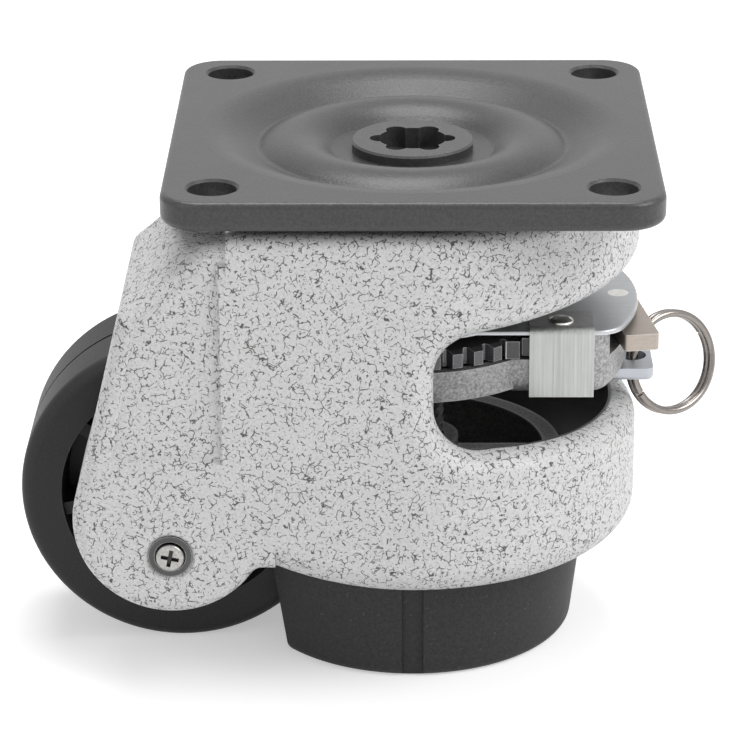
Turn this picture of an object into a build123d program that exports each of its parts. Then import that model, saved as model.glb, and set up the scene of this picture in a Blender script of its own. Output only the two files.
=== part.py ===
from build123d import *
from math import acos, atan2, cos, degrees, pi, radians, sin, sqrt
import os

# Levelling castor with a ratchet lever. Millimetres, +Z up. The origin is the centre of the top plate's
# four-hole pattern on its mounting face, on the swivel axis. The wheel lies towards -X and the lever
# towards +X. The castor stands on its wheel and its rubber foot together.

# Driving dimensions
plate_side = 73.0
plate_corner_r = 6.0
plate_thick = 4.5
hole_spacing = 58.0
hole_r = 3.6
bell_r = 34.8
bell_wall = 4.2
body_top = -5.8
body_bottom = -63.0
wheel_r = 24.65
wheel_edge_r = 1.9
wheel_width = 22.0
axle_x = -36.1
axle_z = -56.0
axle_r = 3.25
floor_z = axle_z - wheel_r
run = 0.05
thread_r = 5.0
spindle_flat = 3.9
gear_teeth = 40
gear_tip_r = 21.8
gear_root_r = 20.4

# Swivel head levels and radii
dish_low = -7.0
race_r = 17.5
ball_r = 2.5
ball_count = 18
ball_z = -8.6
groove_r = 2.6
head_top = -1.8
head_r = 9.4
head_flat = 18.3
shank_r = 8.0
bore_r = 5.4
well_r = 30.5
well_floor = -9.6
ceiling = -16.5
boss_r = 17.0
boss_bore_r = 13.9
boss_low = -26.9

# Wheel well and legs
cavity_r = bell_r - bell_wall
slot_half = 12.6
guard_r = 28.0
leg_boss = (-36.0, -50.9)
leg_boss_r = 14.6
leg_edge_r = 2.2
leg_front = (-48.4, -41.0)
leg_rake = 0.24
leg_top = -9.5
crotch = (-20.5, -58.4)
far_knee = (-40.6, -25.4)
far_foot = (-46.2, -34.2)
bevel_slope = 0.84
bevel_lean = 0.2
bevel_start = (-28.0, -6.2)
near_corner = (-41.4, -20.0, -13.0)
leg_skin = 3.6

# Lever window in the bell
window_low = -41.0
window_drop = 2.2
window_high = -22.8
window_rise = 0.09
window_left = 3.0
window_corner_r = 7.5
window_round = 3.8

# Ratchet lever
tooth_low = -31.3
tooth_high = -28.7
cover_low = -27.6
cover_high = -26.9
cover_disc_r = 19.2
arm_low = -36.3
tray_low = -37.2
arm_half = 16.6
arm_end_r = 33.2
cover_end_r = 34.8
arm_ring_r = 22.4
arm_hub_r = 11.6
arm_wall_x = 25.5
sheet = 0.6
rivet_x = 22.4
rivet_y = 13.9
rivet_r = 1.5
pin_x = 31.8
pin_r = 1.55
pin_foot_r = 1.0
lever_half = 13.4
lever_nose = 3.6
lever_heel = 1.8
lever_low = -31.45
lever_thick = 2.6
lever_tilt = 9.0
pawl_swing = 8.1
pawl_thick = 2.8
pawl_low = tooth_low + 0.05

# Ring and its bracket
bracket_high = tray_low
bracket_thick = 2.05
bracket_half = 6.0
bracket_end = 37.2
bracket_rivet_x = 26.6
eye_x = 34.1
eye_r = 2.3
ring_mean_r = 7.7
wire_r = 0.62
coil_gap = 1.06
ring_yaw = 33.9
ring_tilt = 12.5

# Foot
foot_top = -52.0
foot_rim_r = 23.3
foot_rim_wall = 2.8
foot_hub_r = 7.2
foot_floor = -69.0
foot_core_low = -72.0
pad_top = -57.0
pad_top_r = 27.9
pad_low_r = 25.0
pad_slot_half = 15.9
pad_slot_x = -10.4
lining = 2.2


def turned(*points):
    """Solid of revolution about Z from (radius, height) points."""
    return revolve(make_face(Plane.XZ * Polyline(*points, close=True)), Axis.Z)


def ring(outer, inner, low, high):
    """Flat ring, or a plain disc when the inner radius is zero."""
    section = Circle(outer)
    if inner > 0:
        section -= Circle(inner)
    return Pos(0, 0, low) * extrude(section, high - low)


def slab(x_low, x_high, half_y, low, high):
    """Box between two X planes, centred on Y."""
    middle = (x_low + x_high) / 2
    return Pos(middle, 0, (low + high) / 2) * Box(x_high - x_low, 2 * half_y, high - low)


def cross_rod(radius, x, z, y_low, y_high):
    """Round bar along Y."""
    return Pos(x, y_high, z) * Rot(90, 0, 0) * extrude(Circle(radius), y_high - y_low)


def plan_prism(points, low, high):
    """Prism on a plan outline."""
    return Pos(0, 0, low) * extrude(make_face(Polyline(*points, close=True)), high - low)


def group(solids):
    """Several separate solids kept in one node."""
    return Compound(children=list(solids))


def save(shape, node):
    export_step(shape, os.path.join("parts", node + ".step"))


# Swivel head -------------------------------------------------------------------------------------------

def top_plate():
    """Pressed steel plate: dished round the king bolt, with the upper ball race under the raised ring."""
    plan = RectangleRounded(plate_side, plate_side, plate_corner_r)
    plate = Pos(0, 0, -plate_thick) * extrude(plan, plate_thick)
    plate = fillet(plate.edges().group_by(Axis.Z)[-1], 0.9)
    plate = fillet(plate.edges().group_by(Axis.Z)[0], 1.3)
    plate += turned((0, -plate_thick + 0.5), (29.8, -plate_thick + 0.5), (29.8, -plate_thick),
                    (26.0, dish_low), (0, dish_low))
    rim = (29.8, 0)
    valley = (23.5, -2.8)
    crown = (17.9, 0.65)
    step = (12.3, -3.4)
    dish = make_face(Polyline((34, 0), rim, valley, crown, step, (0, -3.4), (0, 2), (34, 2), close=True))
    for corner, bend in ((rim, 10.0), (valley, 1.0), (crown, 8.0), (step, 0.6)):
        dish = fillet(dish.vertices().sort_by_distance(corner)[0], bend)
    plate -= revolve(Plane.XZ * dish, Axis.Z)
    plate -= Pos(0, 0, ball_z) * Torus(race_r, groove_r)
    plate -= ring(shank_r, 0, -10, 1)
    for x in (-hole_spacing / 2, hole_spacing / 2):
        for y in (-hole_spacing / 2, hole_spacing / 2):
            plate -= Pos(x, y) * ring(hole_r, 0, -10, 1)
            plate -= Pos(x, y) * turned((0, 0.1), (hole_r + 0.5, 0.1), (hole_r - 0.1, -0.5), (0, -0.5))
    return plate


def king_bolt():
    """Hollow bolt through plate and body: flatted head, six-lobed socket, stepped bore for the spindle."""
    socket_low = -5.2
    lobe_at = 4.9
    lobe_r = 1.65
    head = turned((0, -3.4), (head_r, -3.4), (head_r, head_top - 0.3), (head_r - 0.3, head_top), (0, head_top))
    head = head & Box(head_flat, 30, 10)
    bolt = head + ring(shank_r, 0, -21.7, -3.4)
    socket = Circle(5.2)
    for step in range(6):
        socket += Rot(0, 0, 60 * step) * Pos(lobe_at, 0) * Circle(lobe_r)
    bolt -= Pos(0, 0, socket_low) * extrude(socket, 6)
    bolt -= ring(4.6, 0, -7.0, socket_low)
    bolt -= ring(bore_r, 0, -23, -6.6)
    return bolt


def king_nut():
    """Nut that holds body, balls and plate together, inside the boss under the roof."""
    nut = Pos(0, 0, -21.6) * extrude(RegularPolygon(11.0, 6, major_radius=False), 3.7)
    nut -= ring(shank_r, 0, -23, -17)
    return nut


def king_washer():
    return ring(12.6, shank_r, -17.9, ceiling - 0.05)


def race_balls():
    """Ball ring between the plate and the lower race."""
    balls = []
    for index in range(ball_count):
        angle = 2 * pi * index / ball_count
        balls.append(Pos(race_r * cos(angle), race_r * sin(angle), ball_z) * Sphere(ball_r))
    return group(balls)


def ball_cage():
    """Thin ring with a pocket for each ball."""
    cage = ring(race_r + 2.9, race_r - 2.9, ball_z - 0.3, ball_z + 0.3)
    for index in range(ball_count):
        angle = 2 * pi * index / ball_count
        cage -= Pos(race_r * cos(angle), race_r * sin(angle), ball_z) * Sphere(ball_r + 0.08)
    return cage


def lower_race():
    """Hardened ring let into the top of the body, with the lower ball groove."""
    race = ring(22.5, 12.5, well_floor - 2.4, well_floor)
    return race - Pos(0, 0, ball_z) * Torus(race_r, groove_r)


def swivel_bush():
    """Plain bush in the roof that the king bolt turns in."""
    return ring(9.6, shank_r + run, ceiling, well_floor)


# Body --------------------------------------------------------------------------------------------------

def bell_block():
    """Round bell with flat sides that run on to the legs; its lower edge rises towards the wheel."""
    back = -27.0
    rise_r = 53.0
    sides = Polyline((0, bell_r), (back, bell_r), (back, -bell_r), (0, -bell_r))
    plan = make_face(sides + ThreePointArc((0, -bell_r), (bell_r, 0), (0, bell_r)))
    block = Pos(0, 0, body_bottom) * extrude(plan, body_top - body_bottom)
    rise = rise_r - sqrt(rise_r ** 2 - back ** 2)
    end = (back, body_bottom + rise)
    middle_x = back / 2
    middle = (middle_x, body_bottom + rise_r - sqrt(rise_r ** 2 - middle_x ** 2))
    arc = ThreePointArc((0, body_bottom), middle, end)
    rest = Polyline(end, (back - 1, end[1]), (back - 1, body_bottom - 1), (0, body_bottom - 1), (0, body_bottom))
    block -= extrude(Plane.XZ * make_face(arc + rest), bell_r + 1, both=True)
    lower = block.edges().filter_by_position(Axis.Z, body_bottom - 0.1, body_bottom + rise - 0.1)
    lower = lower.filter_by(lambda edge: abs(edge.center().Y) > 30 or edge.center().X > 1)
    block = fillet(lower, 4.6)
    return fillet(block.edges().group_by(Axis.Z)[-1].filter_by(lambda edge: edge.center().X > back + 1), leg_edge_r)


def leg_outline():
    """Side view of a leg: raked front edge, rounded shoulder, round end below the axle."""
    x, z = leg_boss
    end_x, web_z = crotch
    shoulder = (leg_front[0] + leg_rake * (leg_top - leg_front[1]), leg_top)
    reach_x = leg_front[0] - x
    reach_z = leg_front[1] - z
    turn = atan2(reach_z, reach_x) + acos(leg_boss_r / sqrt(reach_x ** 2 + reach_z ** 2))
    touch = (x + leg_boss_r * cos(turn), z + leg_boss_r * sin(turn))
    web = (x + sqrt(leg_boss_r ** 2 - (web_z - z) ** 2), web_z)
    outline = Polyline((end_x, web_z), (end_x, leg_top), shoulder, leg_front, touch, (x, z), web, close=True)
    leg = make_face(outline) + Pos(x, z) * Circle(leg_boss_r)
    return fillet(leg.vertices().sort_by_distance(web)[0], 2.0)


def leg_block():
    """Both legs in one block; the near leg keeps its full shoulder, the rest is set back."""
    block = extrude(Plane.XZ * leg_outline(), bell_r, both=True)
    rim = block.edges().filter_by(lambda edge: abs(abs(edge.center().Y) - bell_r) < 0.01)
    rim = rim.filter_by(lambda edge: edge.center().X < crotch[0] - 0.3)
    block = fillet(rim, leg_edge_r)
    setback = Polyline((-36.2, 0), (-36.2, body_top), far_knee, far_foot, (-50.4, -52.0), (-60, -52.0),
                       (-60, 0), close=True)
    cut = fillet(make_face(setback).vertices().sort_by_distance(far_knee)[0], 5.0)
    cut = extrude(Plane.XZ * cut, -(bell_r + 5 + slot_half))
    block -= Pos(0, -slot_half, 0) * cut
    block -= shoulder_bevel()
    corner = block.edges().sort_by_distance(near_corner)[0]
    return fillet(corner, 2.5)


def shoulder_bevel():
    """Wedge above the near shoulder: rises from the outer face towards the wheel."""
    length = 40.0
    x, z = bevel_start
    wedge = []
    for y in (-bell_r - 5, -slot_half + 5):
        lift = bevel_lean * (y + bell_r)
        top = z + lift
        low = z + lift - bevel_slope * length
        wedge.append(Plane((0, y, 0), x_dir=(1, 0, 0), z_dir=(0, -1, 0)) * make_face(
            Polyline((x + 12, top + bevel_slope * 12), (x - length, low), (x - length, 20), (x + 12, 20), close=True)))
    return loft(wedge)


def side_panels():
    """Shallow sunken panel on the outside of each leg."""
    depth = 0.8
    inset = 3.4
    right = -28.0
    low = -41.2
    top = bevel_start[1] - 1.8
    left = leg_front[0] + leg_rake * (low - leg_front[1]) + inset
    meet = (-40.9, top + bevel_slope * (-40.9 - right))
    outline = Polyline((right, top), (right, low), (left, low), meet, close=True)
    near = Plane((0, -bell_r - 0.01, 0), x_dir=(1, 0, 0), z_dir=(0, -1, 0))
    panel = extrude(near * make_face(outline), -depth, taper=35)
    return [panel, mirror(panel, Plane.XZ)]


def leg_pockets():
    """Hollow of each leg, open towards the wheel, round a boss for the axle."""
    pocket = extrude(Plane.XZ * offset(leg_outline(), -4.0), bell_r - leg_skin, both=True)
    pocket -= ring(bell_r - 0.4, 0, -80, 0)
    pocket -= extrude(Plane.XZ * (Pos(axle_x, axle_z) * Circle(7.0)), bell_r, both=True)
    pocket -= slab(-60, 0, 40, -14.0, 0)
    return pocket


def housing():
    """Die-cast body: bell for the lever and foot, two legs for the wheel, race seat on top."""
    body = bell_block() + leg_block()
    for panel in side_panels():
        body -= panel
    cavity = ring(cavity_r, 0, body_bottom - 5, ceiling)
    cavity = fillet(cavity.edges().group_by(Axis.Z)[-1], 2.5)
    body -= cavity
    body -= extrude(Plane.XZ * window_outline(), 60, both=True)
    rim = body.edges().filter_by(lambda edge: on_window_rim(edge))
    body = fillet(rim, window_round)
    body -= leg_pockets()
    well = extrude(Plane.XZ * (Pos(axle_x, axle_z) * Circle(guard_r)), slot_half, both=True)
    well += slab(axle_x - guard_r, -7.5, slot_half, body_bottom - 30, axle_z)
    body -= well
    body -= slab(-38.5, -24.0, 10.0, -23.5, ceiling)
    body += ring(boss_r, 0, boss_low, ceiling)
    body -= ring(boss_bore_r, 0, boss_low - 1, ceiling)
    body -= ring(14.7, 0, -26.8, -26.0)
    body -= ring(well_r, 0, well_floor, 0)
    body -= ring(22.5, 12.5, well_floor - 2.4, well_floor)
    body -= ring(9.6, 0, ceiling - 1, well_floor + 1)
    body -= cross_rod(axle_r, axle_x, axle_z, -bell_r - 1, bell_r + 1)
    body -= axle_mouths()
    return body


def window_outline():
    """Side view of the lever window: it opens out away from the legs, roof rising and sill falling."""
    far = 60.0
    bend_x = 12.0
    near_high = (window_left, window_high + window_rise * window_left)
    far_high = (far, window_high + window_rise * far)
    near_low = (window_left, window_low)
    bend = (bend_x, window_low)
    far_low = (far, window_low - window_drop * (far - bend_x) / 22.0)
    opening = make_face(Polyline(near_high, near_low, bend, far_low, far_high, close=True))
    opening = fillet(opening.vertices().sort_by_distance(near_low)[0], window_corner_r)
    opening = fillet(opening.vertices().sort_by_distance(bend)[0], 20.0)
    return fillet(opening.vertices().sort_by_distance(near_high)[0], window_corner_r - 1.0)


def on_window_rim(edge):
    """Outer edges of the lever window, on the bell's outside radius."""
    middle = edge.center()
    point = edge.position_at(0.5)
    radius = sqrt(point.X ** 2 + point.Y ** 2)
    inside = window_low - window_drop - 0.5 < middle.Z < window_high + window_rise * bell_r + 0.1
    return abs(radius - bell_r) < 0.02 and inside and point.X > window_left - 0.1


def axle_mouths():
    """Coned mouth at each end of the axle hole."""
    mouth = Pos(axle_x, -bell_r - 0.01, axle_z) * Rot(-90, 0, 0)
    cone = mouth * turned((0, 0), (axle_r + 0.5, 0), (axle_r, 0.6), (0, 0.6))
    return cone + mirror(cone, Plane.XZ)


# Wheel -------------------------------------------------------------------------------------------------

def wheel():
    """Moulded wheel: flat face, deep web with spokes, fine groove round the middle of the tread."""
    half = wheel_width / 2
    face_in = 18.4
    hub_r = 8.6
    web = 3.0
    body = Pos(0, 0, -half) * extrude(Circle(wheel_r), wheel_width)
    body = fillet(body.edges(), wheel_edge_r)
    for side in (0, 180):
        recess = turned((hub_r, web), (face_in - 0.6, web), (face_in, half + 1), (hub_r, half + 1))
        body -= Rot(side, 0, 0) * recess
    body += ring(hub_r, 0, -half - 1, half + 1)
    body -= ring(wheel_r + 1, wheel_r - 0.45, -0.35, 0.35)
    for index in range(8):
        spoke = Pos(13.2, 0, 0) * Box(10.4, 2.0, 2 * half - 3.0)
        body += Rot(0, 0, 45 * index + 10) * spoke
    body -= ring(5.2, 0, -half - 2, half + 2)
    return Pos(axle_x, 0, axle_z) * Rot(90, 0, 0) * body


def wheel_bush():
    """Plain bush pressed into the wheel, running on the axle."""
    half = wheel_width / 2 + 1
    bush = ring(5.2, axle_r + run, -half, half)
    return Pos(axle_x, 0, axle_z) * Rot(90, 0, 0) * bush


def hub_washers():
    low = wheel_width / 2 + 1.05
    washer = Pos(axle_x, 0, axle_z) * Rot(-90, 0, 0) * ring(6.8, axle_r, low, slot_half)
    return group([washer, mirror(washer, Plane.XZ)])


def axle():
    """Steel tube-ended axle; each end is bored for its screw."""
    end = bell_r - 0.3
    bar = cross_rod(axle_r, axle_x, axle_z, -end, end)
    bore = cross_rod(2.35, axle_x, axle_z, -end - 0.01, -end + 1.3)
    bore += cross_rod(1.5, axle_x, axle_z, -end, -end + 10)
    return bar - bore - mirror(bore, Plane.XZ)


def axle_screws():
    """Cross-head screw in each end of the axle."""
    face = bell_r + 0.5
    head = cross_rod(2.15, axle_x, axle_z, -face, -face + 1.0)
    head = fillet(head.edges().group_by(Axis.Y)[0], 0.45)
    screw = head + cross_rod(1.5, axle_x, axle_z, -face + 1.0, -face + 8.0)
    for turn in (12, 102):
        blade = Pos(axle_x, -face, axle_z) * Rot(0, turn, 0) * Box(2.7, 1.3, 0.62)
        screw -= blade
    return group([screw, mirror(screw, Plane.XZ)])


# Levelling drive ---------------------------------------------------------------------------------------

def thrust_plate():
    """Plate in the boss that takes the load and keys the spindle's two flats."""
    plate = ring(boss_bore_r, 0, -24.0, -21.9)
    hole = Circle(thread_r + 0.1) & Rectangle(2 * thread_r + 1, 2 * spindle_flat + 2 * run)
    return plate - Pos(0, 0, -25) * extrude(hole, 4)


def gear_washer():
    return ring(11.0, thread_r + 0.8, -24.75, -24.0)


def gear_clip():
    """Snap ring in the boss that holds the gear up."""
    clip = ring(14.7, 10.6, -26.8, -26.0)
    return clip - Pos(-14, 0, -26.4) * Box(8, 3.2, 2)


def ratchet_gear():
    """Toothed nut on the spindle: flange in the boss, neck through the cover, teeth, journal for the arm."""
    pitch = 2 * pi / gear_teeth
    outline = []
    for index in range(gear_teeth):
        for radius, share in ((gear_root_r, -0.42), (gear_tip_r, -0.22), (gear_tip_r, 0.22), (gear_root_r, 0.42)):
            angle = pitch * (index + share)
            outline.append((radius * cos(angle), radius * sin(angle)))
    gear = plan_prism(outline, tooth_low, tooth_high)
    gear &= turned((0, tooth_low), (23, tooth_low), (23, -29.7), (20.9, tooth_high), (0, tooth_high))
    gear += ring(10.0, 0, tooth_high, -25.0)
    gear += ring(12.6, 0, -25.95, -24.8)
    gear += ring(arm_hub_r - run, 0, arm_low - 0.7, tooth_low)
    return gear - ring(thread_r + run, 0, -40, -20)


def spindle():
    """Threaded spindle with two flats; it slides without turning and carries the foot."""
    bar = ring(thread_r, 0, -71.0, -12.0)
    bar = chamfer(bar.edges().group_by(Axis.Z)[-1], 0.8)
    keyed = Pos(0, 0, -30) * Box(12, 2 * spindle_flat, 60)
    bar &= keyed + ring(thread_r + 1, 0, -75, -50)
    return bar - ring(2.0, 0, -72, -60)


# Foot --------------------------------------------------------------------------------------------------

def foot_core():
    """Cast cup of the foot: rim, hub and ribs, cut away round the wheel."""
    core = ring(foot_rim_r, 0, foot_core_low, foot_top)
    core -= slab(-30, pad_slot_x + lining, pad_slot_half + lining, -80, 0)
    pocket = ring(foot_rim_r - foot_rim_wall, 0, foot_floor, 0)
    pocket -= slab(-30, pad_slot_x + lining + 2.0, pad_slot_half + lining + 2.0, -80, 0)
    core -= pocket
    core += ring(foot_hub_r, 0, foot_floor, foot_top + 1.5)
    rib_length = foot_rim_r - foot_rim_wall / 2
    for turn in (-90, 0, 90):
        rib = Pos(rib_length / 2, 0, (foot_top + foot_floor) / 2 - 0.3) * Box(rib_length, 2.6, foot_top - foot_floor - 0.6)
        core += Rot(0, 0, turn) * rib
    core -= ring(thread_r, 0, -71.0, -40)
    return core - ring(2.6, 0, -80, -60)


def foot_shape(grow=0.0):
    """Outer form of the rubber foot, slightly tapered, cut away round the wheel."""
    low_r = pad_low_r
    foot = turned((0, floor_z), (low_r, floor_z), (pad_top_r, pad_top), (0, pad_top))
    foot = fillet(foot.edges().group_by(Axis.Z)[0], 1.8)
    return foot - slab(-30, pad_slot_x, pad_slot_half, -90, 0)


def foot_pad():
    """Rubber cup moulded round the core, with grip grooves down its side."""
    pad = foot_shape()
    core = ring(foot_rim_r, 0, foot_core_low, 0)
    core -= slab(-30, pad_slot_x + lining, pad_slot_half + lining, -80, 0)
    pad -= core
    taper = degrees(atan2(pad_top_r - pad_low_r, pad_top - floor_z))
    middle = Pos((pad_top_r + pad_low_r) / 2, 0, (pad_top + floor_z) / 2)
    groove = middle * Rot(0, taper, 0) * Box(1.3, 3.3, 40)
    for turn in (-90, 0, 90):
        pad -= Rot(0, 0, turn) * groove
    pad -= ring(5.5, 0, floor_z - 1, foot_core_low)
    pad -= ring(19.0, 14.0, floor_z - 1, floor_z + 0.8) - slab(-30, -8.5, 15.0, -90, 0)
    return pad


def foot_screw():
    """Socket screw up through the core into the spindle."""
    screw = ring(4.2, 0, foot_core_low - 4.0, foot_core_low) + ring(2.0, 0, foot_core_low, -62.0)
    return screw - Pos(0, 0, foot_core_low - 5) * extrude(RegularPolygon(2.0, 6), 3.4)


# Ratchet lever -----------------------------------------------------------------------------------------

def fan(end_r, half, left, corner_r, low, high):
    """Lever plan: parallel sides and an outer end on an arc about the swivel axis."""
    end_x = sqrt(end_r ** 2 - half ** 2)
    sides = Polyline((end_x, half), (left, half), (left, -half), (end_x, -half))
    plan = make_face(sides + ThreePointArc((end_x, -half), (end_r, 0), (end_x, half)))
    body = Pos(0, 0, low) * extrude(plan, high - low)
    corners = body.edges().filter_by(Axis.Z).filter_by(lambda edge: edge.center().X > left + 1)
    return fillet(corners, corner_r)


def ratchet_arm():
    """Cast lever body: journal ring under the gear, open outer wall, and a tray for the pawls."""
    web_high = tooth_low - 1.8
    arm = ring(17.0, 0, arm_low, web_high)
    sector = plan_prism([(0, 0), (-8, -45), (45, -45), (45, 45), (-8, 45)], arm_low - 1, 0)
    arm += ring(arm_ring_r, 0, arm_low, web_high) & sector
    arm += ring(arm_ring_r, arm_ring_r - 1.6, arm_low, tooth_low - 0.25) & sector
    tray = fan(arm_end_r, arm_half, 15.0, 3.5, tray_low, tooth_low - 0.25)
    arm += tray - ring(arm_ring_r - 1.6, 0, web_high, 0)
    wall = fan(arm_end_r, arm_half, 15.0, 3.5, arm_low, cover_low) & slab(arm_wall_x, 40, 30, arm_low, cover_low)
    wall -= slab(arm_wall_x - 1, 40, arm_half - 1.9, tooth_low - 0.25, cover_low + 1)
    arm += wall
    arm = fillet(arm.edges().filter_by(lambda edge: end_edge(edge)), 2.0)
    arm -= ring(arm_hub_r, 0, -40, -20)
    for sign in (-1, 1):
        arm -= Pos(rivet_x, sign * rivet_y) * ring(rivet_r, 0, -40, -20)
    arm -= Pos(pin_x, 0) * ring(pin_foot_r, 0, -35.2, -20)
    arm -= Pos(bracket_rivet_x, 0) * ring(1.4, 0, -40, tooth_low - 0.9)
    return arm


def end_edge(edge):
    """Lower edge of the lever's outer end."""
    middle = edge.position_at(0.5)
    return abs(middle.Z - tray_low) < 0.01 and middle.X > 30.5


def arm_cover():
    """Zinc-plated plate over the gear and pawls."""
    cover = ring(cover_disc_r, 0, cover_low, cover_high)
    cover += fan(cover_end_r, arm_half, 4.0, 4.5, cover_low, cover_high)
    cover = fillet(cover.edges().group_by(Axis.Z)[-1], 0.35)
    cover -= ring(10.3, 0, -30, -25)
    for sign in (-1, 1):
        cover -= Pos(rivet_x, sign * rivet_y) * ring(rivet_r, 0, -30, -25)
    return cover - Pos(pin_x, 0) * ring(pin_r, 0, -30, -25)


def arm_clips():
    """Folded clip on each side: riveted on the cover, bent down over the lever's side."""
    left = 17.6
    right = 27.35
    back = 9.5
    low = -37.4
    outer = arm_half + sheet
    top = cover_high + sheet
    bend = 1.1
    profile = Polyline((-back, cover_high), (-back, top), (-outer, top), (-outer, low), (-arm_half, low),
                       (-arm_half, cover_high), close=True)
    clip = Pos(left, 0, 0) * extrude(Plane.YZ * make_face(profile), right - left)
    crease = clip.edges().filter_by(Axis.X).sort_by_distance((left, -outer, top))[0]
    clip = fillet(crease, bend)
    clip -= Pos(rivet_x, -rivet_y) * ring(rivet_r, 0, -30, -20)
    return group([clip, mirror(clip, Plane.XZ)])


def pawl_rivets():
    """Domed rivets: each holds a clip and the cover down and is the pivot of a pawl."""
    top = cover_high + sheet
    shank = ring(rivet_r, 0, tray_low, top)
    dome = Pos(0, 0, top) * turned((0, 0), (1.9, 0), (1.8, 0.25), (1.2, 0.55), (0, 0.65))
    rivet = Pos(rivet_x, -rivet_y, 0) * (shank + dome)
    return group([rivet, mirror(rivet, Plane.XZ)])


def pawl(side):
    """Pawl on its rivet: square nose beside the teeth, tail by the reversing lever's finger."""
    nose = [(-1.4, 1.8), (-3.8, 1.4), (-5.1, -0.1), (-6.4, -1.5), (-7.5, -2.6), (-8.4, -3.2), (-6.3, -3.2),
            (-5.9, -1.7), (-0.6, -2.1)]
    tail = [(-1.5, 1.7), (3.0, 11.3), (4.6, 11.3), (4.5, 8.9), (2.1, 0.9)]
    body = plan_prism(nose, 0, pawl_thick) + plan_prism(tail, 0, pawl_thick) + ring(2.3, 0, 0, pawl_thick)
    body -= ring(rivet_r + run, 0, -1, pawl_thick + 1)
    if side > 0:
        body = Rot(0, 0, -pawl_swing) * mirror(body, Plane.XZ)
    return Pos(rivet_x, side * rivet_y, pawl_low) * body


def reversing_lever():
    """Steel plate on its pin: wide outer edge to push on, finger between the pawl tails."""
    width = lever_nose + lever_heel
    plate = Pos(lever_nose - width / 2, 0) * Rectangle(width, 2 * lever_half)
    plate = fillet(plate.vertices(), 0.6)
    plate += Circle(3.6)
    finger = Pos(-3.4, 0) * Rectangle(5.2, 2.2)
    plate += finger + Pos(-6.0, 0) * Circle(1.1)
    plate -= Circle(pin_r + run)
    return Pos(pin_x, 0, lever_low) * Rot(0, 0, lever_tilt) * extrude(plate, lever_thick)


def lever_pin():
    """Shouldered pin: its slim foot is pressed into the lever body."""
    floor = tooth_low - 0.25
    return Pos(pin_x, 0) * (ring(pin_foot_r, 0, -35.2, floor) + ring(pin_r, 0, floor, cover_high))


def pawl_springs():
    """Leaf beside each pawl tail, standing on the tray between side wall and lever."""
    strip = [(26.9, -14.5), (27.3, -14.5), (27.6, -7.5), (27.2, -7.5)]
    leaf = plan_prism(strip, pawl_low + 0.2, pawl_low + 2.2)
    return group([leaf, mirror(leaf, Plane.XZ)])


# Ring --------------------------------------------------------------------------------------------------

def ring_bracket():
    """Thick zinc-plated tongue under the lever, with the eye for the ring."""
    left = 24.2
    length = bracket_end - left
    tongue = Pos(left + length / 2, 0) * RectangleRounded(length, 2 * bracket_half, 1.2)
    bracket = Pos(0, 0, bracket_high - bracket_thick) * extrude(tongue, bracket_thick)
    bracket = fillet(bracket.edges().group_by(Axis.Z)[0], 0.8)
    bracket -= Pos(eye_x, 0) * ring(eye_r, 0, -45, -30)
    return bracket - Pos(bracket_rivet_x, 0) * ring(1.4, 0, -45, -30)


def bracket_rivet():
    low = bracket_high - bracket_thick
    shank = ring(1.4, 0, low, tooth_low - 0.9)
    return Pos(bracket_rivet_x, 0) * (shank + ring(2.2, 0, low - 0.5, low))


def ring_frame():
    """Plane of the split ring, placed so that its wire passes through the eye."""
    yaw = radians(ring_yaw)
    tilt = radians(ring_tilt)
    across = Vector(cos(yaw), sin(yaw), 0)
    up = Vector(-sin(yaw) * sin(tilt), cos(yaw) * sin(tilt), cos(tilt))
    normal = across.cross(up)
    drop = 1.7
    reach = sqrt(ring_mean_r ** 2 - drop ** 2)
    eye = Vector(eye_x, 0, bracket_high - bracket_thick / 2)
    return Plane(eye + across * reach - up * drop, x_dir=across, z_dir=normal)


def split_ring():
    """Sprung ring of two turns side by side, with a gap where each turn ends."""
    turns = Torus(ring_mean_r, wire_r)
    coil = Pos(0, 0, -coil_gap / 2) * turns + Pos(0, 0, coil_gap / 2) * turns
    for turn, side in ((207, 1), (27, -1)):
        gap = Pos(ring_mean_r, 0, side * (coil_gap / 2 + 0.15)) * Box(3, 0.5, coil_gap)
        coil -= Rot(0, 0, turn) * gap
    return ring_frame() * coil


nodes = {
    "top_plate": top_plate,
    "king_bolt": king_bolt,
    "king_washer": king_washer,
    "king_nut": king_nut,
    "race_balls": race_balls,
    "ball_cage": ball_cage,
    "lower_race": lower_race,
    "swivel_bush": swivel_bush,
    "housing": housing,
    "wheel": wheel,
    "wheel_bush": wheel_bush,
    "hub_washers": hub_washers,
    "axle": axle,
    "axle_screws": axle_screws,
    "thrust_plate": thrust_plate,
    "gear_washer": gear_washer,
    "gear_clip": gear_clip,
    "ratchet_gear": ratchet_gear,
    "spindle": spindle,
    "foot_core": foot_core,
    "foot_pad": foot_pad,
    "foot_screw": foot_screw,
    "ratchet_arm": ratchet_arm,
    "arm_cover": arm_cover,
    "arm_clips": arm_clips,
    "pawl_rivets": pawl_rivets,
    "pawl_front": lambda: pawl(-1),
    "pawl_back": lambda: pawl(1),
    "pawl_springs": pawl_springs,
    "reversing_lever": reversing_lever,
    "lever_pin": lever_pin,
    "ring_bracket": ring_bracket,
    "bracket_rivet": bracket_rivet,
    "split_ring": split_ring,
}

os.makedirs("parts", exist_ok=True)
for node, make in nodes.items():
    save(make(), node)
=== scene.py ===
# %% [markdown]
# # A levelling castor, dressed for its portrait
#
# The castor comes in as a finished set of solids: mounting plate, painted body, wheel, rubber foot and the
# little ratchet lever that winds the foot down. What is left for Blender is the surface of every piece, one
# piece that deserves finer shape (the threaded spindle), and a plain studio.

# %% Load the castor

import bpy
import math
from mathutils import Matrix, Vector


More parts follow.
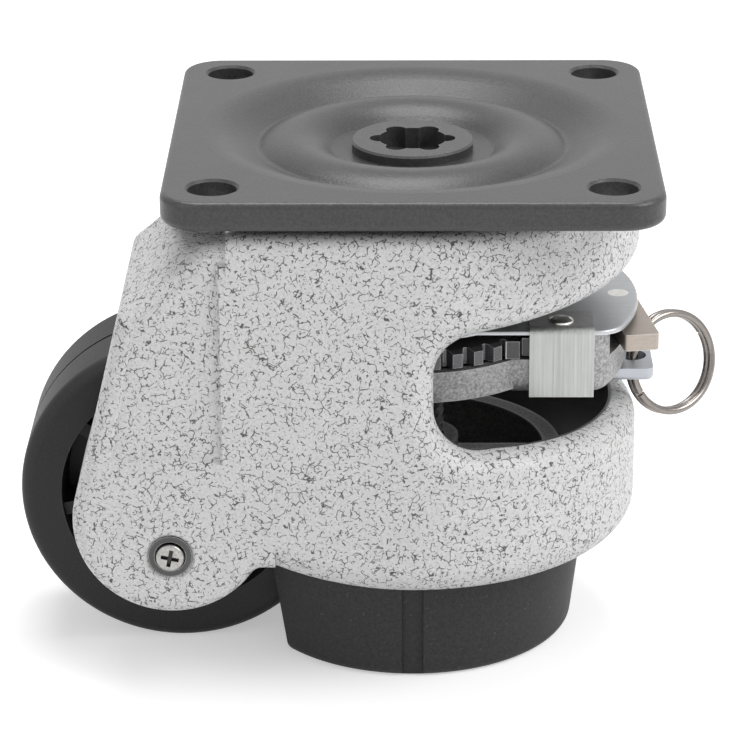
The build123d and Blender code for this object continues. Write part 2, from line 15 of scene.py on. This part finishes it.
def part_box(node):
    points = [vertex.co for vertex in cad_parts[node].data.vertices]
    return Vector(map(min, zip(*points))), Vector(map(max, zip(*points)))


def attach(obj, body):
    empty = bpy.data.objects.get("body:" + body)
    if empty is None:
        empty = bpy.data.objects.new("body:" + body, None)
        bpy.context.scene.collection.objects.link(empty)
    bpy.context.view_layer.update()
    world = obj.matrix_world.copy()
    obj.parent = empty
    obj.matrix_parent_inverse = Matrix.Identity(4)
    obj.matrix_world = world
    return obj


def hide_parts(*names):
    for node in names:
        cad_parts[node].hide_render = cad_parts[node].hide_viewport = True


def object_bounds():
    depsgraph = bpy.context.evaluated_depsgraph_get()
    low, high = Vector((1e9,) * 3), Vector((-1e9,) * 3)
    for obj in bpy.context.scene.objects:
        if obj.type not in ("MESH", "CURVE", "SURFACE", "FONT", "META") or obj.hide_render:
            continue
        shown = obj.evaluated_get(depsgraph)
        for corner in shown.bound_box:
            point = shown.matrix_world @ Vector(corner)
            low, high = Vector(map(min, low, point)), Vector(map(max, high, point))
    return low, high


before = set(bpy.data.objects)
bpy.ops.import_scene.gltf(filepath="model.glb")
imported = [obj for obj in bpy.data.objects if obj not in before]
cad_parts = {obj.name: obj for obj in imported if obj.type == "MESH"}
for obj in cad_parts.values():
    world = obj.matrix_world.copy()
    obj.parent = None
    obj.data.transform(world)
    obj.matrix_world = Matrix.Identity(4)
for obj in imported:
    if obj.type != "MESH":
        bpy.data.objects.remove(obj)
solid_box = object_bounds()
print("nodes loaded:", len(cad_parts))
print("castor box in metres:", [[round(v, 4) for v in corner] for corner in solid_box])

# %% [markdown]
# ## Two small helpers
#
# A material is a tree of nodes. Adding a node, filling its inputs and wiring it up takes several lines each
# time, so `put` does all three. `grey` turns a display level from 0 to 255 into the linear value that
# shaders work with.

# %% Helpers for node trees

def put(tree, kind, inputs=None, **settings):
    node = tree.nodes.new(kind)
    for name, value in settings.items():
        setattr(node, name, value)
    for key, value in (inputs or {}).items():
        if isinstance(value, bpy.types.NodeSocket):
            tree.links.new(value, node.inputs[key])
        else:
            node.inputs[key].default_value = value
    return node


def grey(level):
    value = (level / 255) ** 2.2
    return (value, value, value, 1)


def material(name, **surface):
    made = bpy.data.materials.new(name)
    made.use_nodes = True
    shader = made.node_tree.nodes["Principled BSDF"]
    for key, value in surface.items():
        shader.inputs[key.replace("_", " ")].default_value = value
    return made, made.node_tree, shader


print("grey 200 is", round(grey(200)[0], 3), "in linear light")

# %% [markdown]
# ## Grain
#
# Castings, mouldings and paint are never quite even. One shader group gives every material its own grain:
# a noise at a size in metres, put out as a height for bump and as a shade near 1 for colour.
# A group keeps the recipe in one place, and each material sets its own values on it.

# %% Shader group: grain

def group(name, inputs, outputs):
    made = bpy.data.node_groups.new(name, "ShaderNodeTree")
    for label, value in inputs:
        made.interface.new_socket(label, in_out="INPUT", socket_type="NodeSocketFloat").default_value = value
    for label in outputs:
        made.interface.new_socket(label, in_out="OUTPUT", socket_type="NodeSocketFloat")
    return made, made.nodes.new("NodeGroupInput"), made.nodes.new("NodeGroupOutput")


grain, entry, leave = group("grain", [("Size", 0.0005), ("Contrast", 0.2), ("Detail", 2.0)], ["Shade", "Height"])
place = put(grain, "ShaderNodeTexCoord")
scale = put(grain, "ShaderNodeMath", {0: 1.0, 1: entry.outputs["Size"]}, operation="DIVIDE")
speckle = put(grain, "ShaderNodeTexNoise", {"Vector": place.outputs["Object"], "Scale": scale.outputs[0],
                                            "Detail": entry.outputs["Detail"], "Roughness": 0.6})
centred = put(grain, "ShaderNodeMath", {0: speckle.outputs["Fac"], 1: 0.5}, operation="SUBTRACT")
spread = put(grain, "ShaderNodeMath", {0: centred.outputs[0], 1: entry.outputs["Contrast"], 2: 1.0},
             operation="MULTIPLY_ADD")
grain.links.new(spread.outputs[0], leave.inputs["Shade"])
grain.links.new(speckle.outputs["Fac"], leave.inputs["Height"])
print("group ready:", grain.name)

# %% [markdown]
# ## Worn and highlighted edges
#
# Where metal is handled, its edges wear bright; the same lighter edge also serves as a painted highlight. The
# Bevel node rounds the normal near an edge only, so where the rounded and the true normal part company there is
# an edge. Noise breaks the line up, as real wear does.

# %% Shader group: worn and highlighted edges

wear_and_highlight_edges, entry, leave = group("edge_wear_and_highlight", [("Width", 0.0003), ("Gain", 4.0), ("Breakup", 0.5)], ["Mask"])
place = put(wear_and_highlight_edges, "ShaderNodeTexCoord")
true_normal = put(wear_and_highlight_edges, "ShaderNodeNewGeometry")
rounded = put(wear_and_highlight_edges, "ShaderNodeBevel", {"Radius": entry.outputs["Width"]}, samples=6)
likeness = put(wear_and_highlight_edges, "ShaderNodeVectorMath", {0: rounded.outputs[0], 1: true_normal.outputs["Normal"]},
               operation="DOT_PRODUCT")
bend = put(wear_and_highlight_edges, "ShaderNodeMath", {0: 1.0, 1: likeness.outputs["Value"]}, operation="SUBTRACT")
bright = put(wear_and_highlight_edges, "ShaderNodeMath", {0: bend.outputs[0], 1: entry.outputs["Gain"]}, operation="MULTIPLY")
patches = put(wear_and_highlight_edges, "ShaderNodeTexNoise", {"Vector": place.outputs["Object"], "Scale": 900.0, "Detail": 3.0})
thin = put(wear_and_highlight_edges, "ShaderNodeMath", {0: patches.outputs["Fac"], 1: entry.outputs["Breakup"]},
           operation="MULTIPLY")
# Mask for lighter edges: wear together with a painted highlight.
wear_and_highlight_mask = put(wear_and_highlight_edges, "ShaderNodeMath", {0: bright.outputs[0], 1: thin.outputs[0]}, operation="SUBTRACT",
           use_clamp=True)
wear_and_highlight_edges.links.new(wear_and_highlight_mask.outputs[0], leave.inputs["Mask"])
print("group ready:", wear_and_highlight_edges.name)

# %% [markdown]
# ## Brush lines
#
# Rolled and zinc-plated sheet shows fine straight lines. They are the same noise, squeezed hard across the
# lines and hardly at all along them. Three inputs say how fine the noise is along each axis.

# %% Shader group: brush lines

brush, entry, leave = group("brush_lines", [("Fine X", 3000.0), ("Fine Y", 3000.0), ("Fine Z", 60.0),
                                            ("Contrast", 0.3)], ["Shade", "Height"])
place = put(brush, "ShaderNodeTexCoord")
squeeze = put(brush, "ShaderNodeCombineXYZ", {0: entry.outputs["Fine X"], 1: entry.outputs["Fine Y"],
                                              2: entry.outputs["Fine Z"]})
stretched = put(brush, "ShaderNodeVectorMath", {0: place.outputs["Object"], 1: squeeze.outputs[0]},
                operation="MULTIPLY")
lines = put(brush, "ShaderNodeTexNoise", {"Vector": stretched.outputs["Vector"], "Scale": 1.0, "Detail": 4.0,
                                          "Roughness": 0.65})
centred = put(brush, "ShaderNodeMath", {0: lines.outputs["Fac"], 1: 0.5}, operation="SUBTRACT")
spread = put(brush, "ShaderNodeMath", {0: centred.outputs[0], 1: entry.outputs["Contrast"], 2: 1.0},
             operation="MULTIPLY_ADD")
brush.links.new(spread.outputs[0], leave.inputs["Shade"])
brush.links.new(lines.outputs["Fac"], leave.inputs["Height"])
print("group ready:", brush.name)

# %% [markdown]
# ## Two steps every finish repeats
#
# A colour is multiplied by a shade, and a height is turned into a bump. `shaded` and `bumped` do just that,
# and `use` drops one of the groups above into a material.

# %% Helpers for finishes

def use(tree, group_tree, **inputs):
    node = tree.nodes.new("ShaderNodeGroup")
    node.node_tree = group_tree
    for key, value in inputs.items():
        node.inputs[key.replace("_", " ")].default_value = value
    return node


def shaded(tree, colour, *shades):
    result = colour
    for shade in shades:
        mix = put(tree, "ShaderNodeMix", {0: 1.0, 6: result, 7: shade}, data_type="RGBA", blend_type="MULTIPLY")
        result = mix.outputs[2]
    return result


def blended(tree, mask, first, second):
    return put(tree, "ShaderNodeMix", {0: mask, 6: first, 7: second}, data_type="RGBA").outputs[2]


def bumped(tree, shader, height, distance, strength=1.0):
    bump = put(tree, "ShaderNodeBump", {"Height": height, "Distance": distance, "Strength": strength})
    tree.links.new(bump.outputs["Normal"], shader.inputs["Normal"])


def wear(tree, shader, value):
    tree.links.new(value, shader.inputs["Roughness"])


print("helpers ready")

# %% [markdown]
# ## Crackle paint on the body
#
# The die-cast body has a light grey paint that crazes as it dries: short dark twigs, a tenth of a millimetre
# wide, that branch and break off. Cell borders branch like that, so a Voronoi pattern gives the net; noise
# bends it and a second noise lets only some stretches of it through. The cracks are a little sunken.
# Low down inside the bell the colour is a painted shade, grey 70: a mask on the distance from the swivel axis
# and on the height keeps the paint outside.

# %% Finish: crackle paint

paint, tree, shader = material("crackle_paint", Roughness=0.5, Coat_Weight=0.08)
place = put(tree, "ShaderNodeTexCoord").outputs["Object"]
wander = put(tree, "ShaderNodeTexNoise", {"Vector": place, "Scale": 900.0, "Detail": 2.0})
offset = put(tree, "ShaderNodeVectorMath", {0: wander.outputs["Color"], 1: (-0.5, -0.5, -0.5)}, operation="ADD")
shift = put(tree, "ShaderNodeVectorMath", {0: offset.outputs[0], "Scale": 0.0009}, operation="SCALE")
bent = put(tree, "ShaderNodeVectorMath", {0: place, 1: shift.outputs[0]}, operation="ADD")
twigs = []
for fineness, patch, cut, width in ((760.0, 1000.0, 0.51, 0.062), (1250.0, 1700.0, 0.565, 0.072)):
    net = put(tree, "ShaderNodeTexVoronoi", {"Vector": bent.outputs[0], "Scale": fineness},
              feature="DISTANCE_TO_EDGE")
    line = put(tree, "ShaderNodeMapRange", {"Value": net.outputs["Distance"], "From Min": width * 0.35,
                                            "From Max": width, "To Min": 1.0, "To Max": 0.0})
    gaps = put(tree, "ShaderNodeTexNoise", {"Vector": place, "Scale": patch, "Detail": 1.0})
    open_here = put(tree, "ShaderNodeMapRange", {"Value": gaps.outputs["Fac"], "From Min": cut - 0.01,
                                                 "From Max": cut + 0.03, "To Min": 0.0, "To Max": 1.0})
    twigs.append(put(tree, "ShaderNodeMath", {0: line.outputs[0], 1: open_here.outputs[0]},
                     operation="MULTIPLY").outputs[0])
crack = put(tree, "ShaderNodeMath", {0: twigs[0], 1: twigs[1]}, operation="MAXIMUM").outputs[0]
mottle = use(tree, grain, Size=0.004, Contrast=0.10, Detail=3.0)
fine = use(tree, grain, Size=0.0004, Contrast=0.5, Detail=1.0)
ground = shaded(tree, grey(200), mottle.outputs["Shade"], fine.outputs["Shade"])
painted = blended(tree, crack, ground, grey(70))
# Painted shade: low down inside the bell the colour goes to grey 70.
flat_place = put(tree, "ShaderNodeVectorMath", {0: place, 1: (1.0, 1.0, 0.0)}, operation="MULTIPLY")
reach = put(tree, "ShaderNodeVectorMath", {0: flat_place.outputs[0]}, operation="LENGTH")
shade_radius_mask = put(tree, "ShaderNodeMapRange", {"Value": reach.outputs["Value"], "From Min": 0.0309,
                                        "From Max": 0.0312, "To Min": 1.0, "To Max": 0.0})
low_down = put(tree, "ShaderNodeSeparateXYZ", {0: place})
below = put(tree, "ShaderNodeMapRange", {"Value": low_down.outputs["Z"], "From Min": -0.013,
                                         "From Max": -0.012, "To Min": 1.0, "To Max": 0.0})
inside = put(tree, "ShaderNodeMath", {0: shade_radius_mask.outputs[0], 1: below.outputs[0]}, operation="MULTIPLY")
tree.links.new(blended(tree, inside.outputs[0], painted, grey(70)), shader.inputs["Base Color"])
sunk = put(tree, "ShaderNodeMath", {0: fine.outputs["Height"], 1: crack}, operation="SUBTRACT")
bumped(tree, shader, sunk.outputs[0], 0.00003, 0.5)
print("finish ready:", paint.name)

# %% [markdown]
# ## Dark coat on plate and bolt
#
# The pressed plate and the big bolt in it carry a thin dark coat over steel. It is satin, with the grain of
# the steel just showing, and lighter on the edges: rubbing together with a painted highlight.

# %% Finish: dark coat

coat, tree, shader = material("dark_coat", Metallic=0.15, Specular_IOR_Level=0.45)
fine = use(tree, grain, Size=0.0004, Contrast=1.3, Detail=2.0)
broad = use(tree, grain, Size=0.009, Contrast=0.25, Detail=3.0)
rub_and_highlight = use(tree, wear_and_highlight_edges, Width=0.0005, Gain=3.0, Breakup=0.7)
tone = shaded(tree, grey(62), fine.outputs["Shade"], broad.outputs["Shade"])
# Edges go to grey 116: rubbing together with a painted highlight.
tree.links.new(blended(tree, rub_and_highlight.outputs["Mask"], tone, grey(116)), shader.inputs["Base Color"])
sheen = put(tree, "ShaderNodeMapRange", {"Value": broad.outputs["Height"], "To Min": 0.3, "To Max": 0.42})
wear(tree, shader, sheen.outputs[0])
bumped(tree, shader, fine.outputs["Height"], 0.00006, 0.7)
print("finish ready:", coat.name)

# %% [markdown]
# ## Wheel and rubber foot
#
# The wheel is moulded nylon, near black with a faint mottle and a dull shine. The foot is rubber: as dark,
# but matte, with a soft bloom of grey and a few pale specks of mould dust.

# %% Finishes: nylon and rubber

nylon, tree, shader = material("moulded_nylon", Specular_IOR_Level=0.35)
fine = use(tree, grain, Size=0.0005, Contrast=2.0, Detail=3.0)
broad = use(tree, grain, Size=0.006, Contrast=0.3, Detail=2.0)
rub_and_highlight = use(tree, wear_and_highlight_edges, Width=0.0006, Gain=1.6, Breakup=0.6)
tone = shaded(tree, grey(34), fine.outputs["Shade"], broad.outputs["Shade"])
# Edges go to grey 96: wear together with a painted highlight on the rims.
tree.links.new(blended(tree, rub_and_highlight.outputs["Mask"], tone, grey(96)), shader.inputs["Base Color"])
wear(tree, shader, put(tree, "ShaderNodeMapRange", {"Value": fine.outputs["Height"], "To Min": 0.42,
                                                    "To Max": 0.66}).outputs[0])
bumped(tree, shader, fine.outputs["Height"], 0.00004, 0.5)

rubber, tree, shader = material("foot_rubber", Specular_IOR_Level=0.3)
fine = use(tree, grain, Size=0.0005, Contrast=1.5, Detail=3.0)
broad = use(tree, grain, Size=0.012, Contrast=0.35, Detail=2.0)
specks = put(tree, "ShaderNodeTexNoise", {"Vector": put(tree, "ShaderNodeTexCoord").outputs["Object"],
                                          "Scale": 2600.0, "Detail": 0.0})
dust = put(tree, "ShaderNodeMapRange", {"Value": specks.outputs["Fac"], "From Min": 0.79, "From Max": 0.84,
                                        "To Max": 0.3})
tone = shaded(tree, grey(50), fine.outputs["Shade"], broad.outputs["Shade"])
tree.links.new(blended(tree, dust.outputs[0], tone, grey(120)), shader.inputs["Base Color"])
wear(tree, shader, put(tree, "ShaderNodeMapRange", {"Value": broad.outputs["Height"], "To Min": 0.5,
                                                    "To Max": 0.7}).outputs[0])
bumped(tree, shader, fine.outputs["Height"], 0.00003, 0.4)
print("finishes ready:", nylon.name, rubber.name)

# %% [markdown]
# ## Castings
#
# The lever's body is an aluminium alloy straight from the mould, coarse and grey. The foot's core is a black
# coated casting, given grey 140, which is lighter than the black coat: a painted sheen; its raised ribs and
# edges
# go paler still, grey 190: rubbing together with a painted highlight.

# %% Finishes: cast alloy and black core

cast, tree, shader = material("cast_alloy", Metallic=0.55)
fine = use(tree, grain, Size=0.0004, Contrast=2.2, Detail=2.0)
broad = use(tree, grain, Size=0.004, Contrast=0.3, Detail=3.0)
rub_and_highlight = use(tree, wear_and_highlight_edges, Width=0.0004, Gain=3.0, Breakup=0.6)
tone = shaded(tree, grey(150), fine.outputs["Shade"], broad.outputs["Shade"])
tree.links.new(blended(tree, rub_and_highlight.outputs["Mask"], tone, grey(205)), shader.inputs["Base Color"])
wear(tree, shader, put(tree, "ShaderNodeMapRange", {"Value": fine.outputs["Height"], "To Min": 0.42,
                                                    "To Max": 0.62}).outputs[0])
bumped(tree, shader, fine.outputs["Height"], 0.00006, 0.6)

core, tree, shader = material("black_core", Metallic=0.2)
fine = use(tree, grain, Size=0.0004, Contrast=2.0, Detail=2.0)
rub_and_highlight = use(tree, wear_and_highlight_edges, Width=0.0014, Gain=5.0, Breakup=0.4)
# Painted sheen: grey 140 stands for the black coat; edges go to grey 190, rubbing with a painted highlight.
tone = shaded(tree, grey(140), fine.outputs["Shade"])
tree.links.new(blended(tree, rub_and_highlight.outputs["Mask"], tone, grey(190)), shader.inputs["Base Color"])
wear(tree, shader, put(tree, "ShaderNodeMapRange", {"Value": fine.outputs["Height"], "To Min": 0.45,
                                                    "To Max": 0.65}).outputs[0])
bumped(tree, shader, fine.outputs["Height"], 0.00006, 0.6)
print("finishes ready:", cast.name, core.name)

# %% [markdown]
# ## Plated sheet, steel and nickel
#
# Every other metal piece has its own tint and its own lines: blue-grey zinc on the cover, a paler zinc with
# upright brush lines on the folded clips, a brown-grey steel lever, warm nickel on the ring, and dark steel
# on the gear. One function builds them all from a colour, a roughness and the direction of the lines.

# %% Finishes: bright metals

def bright_metal(name, colour, rough, lines, contrast=0.3, edge=None, metallic=1.0, blotch=0.2):
    made, tree, shader = material(name, Metallic=metallic)
    x, y, z = lines
    run = use(tree, brush, Fine_X=x, Fine_Y=y, Fine_Z=z, Contrast=contrast)
    broad = use(tree, grain, Size=0.005, Contrast=blotch, Detail=3.0)
    rub_and_highlight = use(tree, wear_and_highlight_edges, Width=0.00025, Gain=4.0, Breakup=0.4)
    tone = shaded(tree, colour, run.outputs["Shade"], broad.outputs["Shade"])
    # Lighter edge colour: wear together with a painted highlight along the edges.
    shine = edge or tuple(min(1.0, c * 1.35) for c in colour[:3]) + (1,)
    tree.links.new(blended(tree, rub_and_highlight.outputs["Mask"], tone, shine), shader.inputs["Base Color"])
    wear(tree, shader, put(tree, "ShaderNodeMapRange", {"Value": run.outputs["Height"], "To Min": rough - 0.08,
                                                        "To Max": rough + 0.1}).outputs[0])
    bumped(tree, shader, run.outputs["Height"], 0.00001, 0.5)
    return made


upright = (2600.0, 2600.0, 45.0)
across = (60.0, 2400.0, 2400.0)
even = (1500.0, 1500.0, 1500.0)
zinc_clip = bright_metal("zinc_clip", (0.45, 0.46, 0.45, 1), 0.42, upright, 1.0, metallic=0.8)
# The cover's near-white edge colour is a painted highlight.
zinc_cover = bright_metal("zinc_cover", (0.48, 0.495, 0.51, 1), 0.38, across, 0.5, (0.85, 0.87, 0.88, 1), 0.8)
zinc_tongue = bright_metal("zinc_tongue", (0.43, 0.45, 0.48, 1), 0.36, across, 0.3, metallic=0.85)
lever_steel = bright_metal("lever_steel", (0.40, 0.35, 0.31, 1), 0.42, across, 0.4, (0.75, 0.72, 0.68, 1), 0.8)
nickel = bright_metal("nickel_wire", (0.25, 0.23, 0.215, 1), 0.22, even, 0.5)
screw_steel = bright_metal("screw_steel", (0.72, 0.71, 0.68, 1), 0.3, even, 0.6)
ground_steel = bright_metal("ground_steel", (0.55, 0.54, 0.52, 1), 0.3, even, 0.2)
ball_steel = bright_metal("ball_steel", (0.72, 0.72, 0.72, 1), 0.1, even, 0.05)
dark_steel = bright_metal("dark_steel", (0.085, 0.085, 0.085, 1), 0.45, even, 0.5, (0.5, 0.5, 0.5, 1))
bronze = bright_metal("bronze", (0.50, 0.34, 0.17, 1), 0.4, even, 0.3)
brass = bright_metal("brass", (0.62, 0.48, 0.22, 1), 0.32, even, 0.2)
# The gear's pale edge colour is a painted highlight where the tooth edges catch the light.
gear_steel = bright_metal("gear_steel", (0.12, 0.12, 0.125, 1), 0.45, even, 0.7, (0.8, 0.8, 0.78, 1), 0.7)
print("bright metals ready:", ground_steel.name, "and its kin")

# %% [markdown]
# ## The axle screws
#
# The cross recess gets a painted shade, grey 60. The head's face stands further out than the
# recess, so a mask on the distance from the middle plane tells the bright face from the shaded recess.

# %% Finish: screw heads

screw_head, tree, shader = material("screw_head", Metallic=0.9, Roughness=0.34)
apart = put(tree, "ShaderNodeSeparateXYZ", {0: put(tree, "ShaderNodeTexCoord").outputs["Object"]})
outward = put(tree, "ShaderNodeMath", {0: apart.outputs["Y"]}, operation="ABSOLUTE")
unshaded_face = put(tree, "ShaderNodeMapRange", {"Value": outward.outputs[0], "From Min": 0.0348, "From Max": 0.0352})
fine = use(tree, grain, Size=0.0004, Contrast=1.0, Detail=2.0)
bright = shaded(tree, (0.36, 0.355, 0.34, 1), fine.outputs["Shade"])
# Painted shade: grey 60 in the cross recess, the screw's own grey on the face.
tree.links.new(blended(tree, unshaded_face.outputs[0], grey(60), bright), shader.inputs["Base Color"])
bumped(tree, shader, fine.outputs["Height"], 0.00002, 0.4)
print("finish ready:", screw_head.name)

# %% [markdown]
# ## Give every node its finish
#
# The solids keep their shape and place. Only the material in each of their slots changes.

# %% Assign the finishes

finish_of = {
    "housing": paint, "top_plate": coat, "king_bolt": coat, "wheel": nylon, "foot_pad": rubber,
    "ratchet_arm": cast, "foot_core": core, "arm_clips": zinc_clip, "arm_cover": zinc_cover,
    "ring_bracket": zinc_tongue, "reversing_lever": lever_steel, "split_ring": nickel,
    "pawl_rivets": screw_steel, "lever_pin": screw_steel, "axle_screws": screw_head,
    "bracket_rivet": screw_steel, "axle": dark_steel, "ratchet_gear": gear_steel, "pawl_front": dark_steel,
    "pawl_back": dark_steel, "pawl_springs": ground_steel, "king_washer": ground_steel,
    "lower_race": ground_steel, "hub_washers": ground_steel, "thrust_plate": ground_steel,
    "gear_clip": ground_steel, "king_nut": dark_steel, "foot_screw": dark_steel, "spindle": dark_steel,
    "race_balls": ball_steel, "ball_cage": brass, "swivel_bush": bronze, "wheel_bush": bronze,
    "gear_washer": bronze,
}
for name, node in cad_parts.items():
    for piece_slot in node.material_slots:
        piece_slot.material = finish_of[name]
print("nodes dressed:", len(finish_of), "left over:", sorted(set(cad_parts) - set(finish_of)))

# %% [markdown]
# ## The threaded spindle
#
# The foot hangs on a screw with two flats, seen through the lever window. A thread is a small tooth swept
# round and up at once, which is what the Screw modifier does: three points make the tooth, the modifier
# winds them a whole pitch each turn, and cuts square off the ends and the two flats.

# %% Model the spindle

def only(piece):
    bpy.ops.object.select_all(action="DESELECT")
    piece.select_set(True)
    bpy.context.view_layer.objects.active = piece


pitch = 0.0015
low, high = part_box("spindle")
crest = (high[0] - low[0]) / 2 - 0.0001
flat = 0.0039
bpy.ops.object.select_all(action="DESELECT")
bpy.ops.mesh.primitive_plane_add(size=0.001, location=(0, 0, 0))
thread = bpy.context.active_object
thread.name = "spindle_thread"
for corner in thread.data.vertices:
    corner.co = Vector((crest - 0.0006, 0, low[2] - pitch))
bpy.ops.object.mode_set(mode="EDIT")
bpy.ops.mesh.select_all(action="SELECT")
bpy.ops.mesh.remove_doubles(threshold=0.0001)
bpy.ops.mesh.select_all(action="SELECT")
bpy.ops.mesh.extrude_region_move(TRANSFORM_OT_translate={"value": (0.0006, 0, pitch / 2)})
bpy.ops.mesh.extrude_region_move(TRANSFORM_OT_translate={"value": (-0.0006, 0, pitch / 2)})
bpy.ops.object.mode_set(mode="OBJECT")
print("tooth points:", len(thread.data.vertices))

# %% Wind the tooth and cut the ends and flats

only(thread)
turns = int((high[2] - low[2]) / pitch) + 3
wind = thread.modifiers.new("wind", "SCREW")
wind.axis = "Z"
wind.angle = 2 * math.pi
wind.screw_offset = pitch
wind.iterations = turns
wind.steps = 40
wind.render_steps = 40
wind.use_merge_vertices = True
wind.merge_threshold = 0.00001
bpy.ops.object.modifier_apply(modifier="wind")
bpy.ops.object.mode_set(mode="EDIT")
bpy.ops.mesh.select_all(action="SELECT")
bpy.ops.mesh.remove_doubles(threshold=0.00001)
for point, direction in (((0, 0, low[2]), (0, 0, -1)), ((0, 0, high[2]), (0, 0, 1)),
                         ((0, -flat, 0), (0, -1, 0)), ((0, flat, 0), (0, 1, 0))):
    bpy.ops.mesh.select_all(action="SELECT")
    bpy.ops.mesh.bisect(plane_co=point, plane_no=direction, use_fill=True, clear_outer=True)
bpy.ops.mesh.select_all(action="SELECT")
bpy.ops.mesh.normals_make_consistent(inside=False)
bpy.ops.object.mode_set(mode="OBJECT")
bpy.ops.object.shade_smooth_by_angle(angle=math.radians(35))
thread.data.materials.append(dark_steel)
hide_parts("spindle")
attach(thread, "foot")
print("spindle turns:", turns, "faces:", len(thread.data.polygons))

# %% [markdown]
# ## Studio
#
# A pale floor, one broad light from the right and above, a weaker one from the left, and an even white
# surround. For the camera, mirrors and glass the surround is plain white, so the picture has a white ground
# without pouring more light on the castor. The floor adds a little of its own white for the camera, and
# still shows the shadow.

# %% Rays that should see plain white

def viewed_rays(tree):
    path = put(tree, "ShaderNodeLightPath")
    direct = put(tree, "ShaderNodeMath", {0: path.outputs["Is Camera Ray"], 1: path.outputs["Is Glossy Ray"]},
                 operation="MAXIMUM")
    return put(tree, "ShaderNodeMath", {0: direct.outputs[0], 1: path.outputs["Is Transmission Ray"]},
               operation="MAXIMUM")


print("camera, mirror and glass rays share one switch")

# %% Floor

floor_level = solid_box[0][2]
bpy.ops.object.select_all(action="DESELECT")
bpy.ops.mesh.primitive_plane_add(size=6, location=(0, 0, floor_level))
floor = bpy.context.active_object
floor.name = "studio_floor"
floor_look, tree, shader = material("floor_white", Roughness=1.0, Specular_IOR_Level=0.0)
shader.inputs["Base Color"].default_value = (0.8, 0.8, 0.8, 1)
viewed = viewed_rays(tree)
lift = put(tree, "ShaderNodeMath", {0: viewed.outputs[0], 1: 0.42}, operation="MULTIPLY")
glow = put(tree, "ShaderNodeEmission", {"Color": (1, 1, 1, 1), "Strength": lift.outputs[0]})
both = put(tree, "ShaderNodeAddShader", {0: shader.outputs[0], 1: glow.outputs[0]})
tree.links.new(both.outputs[0], tree.nodes["Material Output"].inputs["Surface"])
floor.data.materials.append(floor_look)
print("floor at", round(floor_level, 4))

# %% Surround and lamps

studio = bpy.data.worlds.new("studio")
bpy.context.scene.world = studio
studio.use_nodes = True
tree = studio.node_tree
back = tree.nodes["Background"]
viewed = viewed_rays(tree)
level = put(tree, "ShaderNodeMapRange", {"Value": viewed.outputs[0], "To Min": 0.42, "To Max": 1.0})
back.inputs["Color"].default_value = (1, 1, 1, 1)
tree.links.new(level.outputs[0], back.inputs["Strength"])


def lamp(name, where, size, watts):
    bpy.ops.object.light_add(type="AREA", location=where)
    made = bpy.context.active_object
    made.name = name
    made.data.size = size
    made.data.energy = watts
    made.rotation_euler = (Vector((0, 0, -0.04)) - Vector(where)).to_track_quat("-Z", "Y").to_euler()
    return made


lamp("main_light", (0.6, -0.3, 0.55), 0.5, 5.0)
lamp("left_fill", (-0.6, -0.6, 0.3), 0.6, 1.2)
lamp("top_light", (-0.05, 0.2, 0.8), 0.5, 5.0)

# %% [markdown]
# ## Camera
#
# The view is from the front and a little above, with a long lens from half a metre away, so upright edges
# stay nearly upright.

# %% Camera

turn, tip, roll = -0.0117416, 0.3739501, -0.0047012
away = Vector((math.sin(turn) * math.cos(tip), math.cos(turn) * math.cos(tip), -math.sin(tip)))
side = Vector((math.cos(turn), -math.sin(turn), 0))
top = side.cross(away)
right = side * math.cos(roll) + top * math.sin(roll)
up = top * math.cos(roll) - side * math.sin(roll)
lens = bpy.data.cameras.new("camera")
lens.sensor_width = 36
lens.lens = 170.03
lens.clip_start = 0.01
camera = bpy.data.objects.new("camera", lens)
bpy.context.scene.collection.objects.link(camera)
spot = Vector((-0.0010021, -0.5052496, 0.158877))
camera.matrix_world = Matrix(((right.x, up.x, -away.x, spot.x), (right.y, up.y, -away.y, spot.y),
                              (right.z, up.z, -away.z, spot.z), (0, 0, 0, 1)))
bpy.context.scene.camera = camera
bpy.context.scene.view_settings.view_transform = "Standard"
print("camera looks down by", round(math.degrees(tip), 1), "degrees")
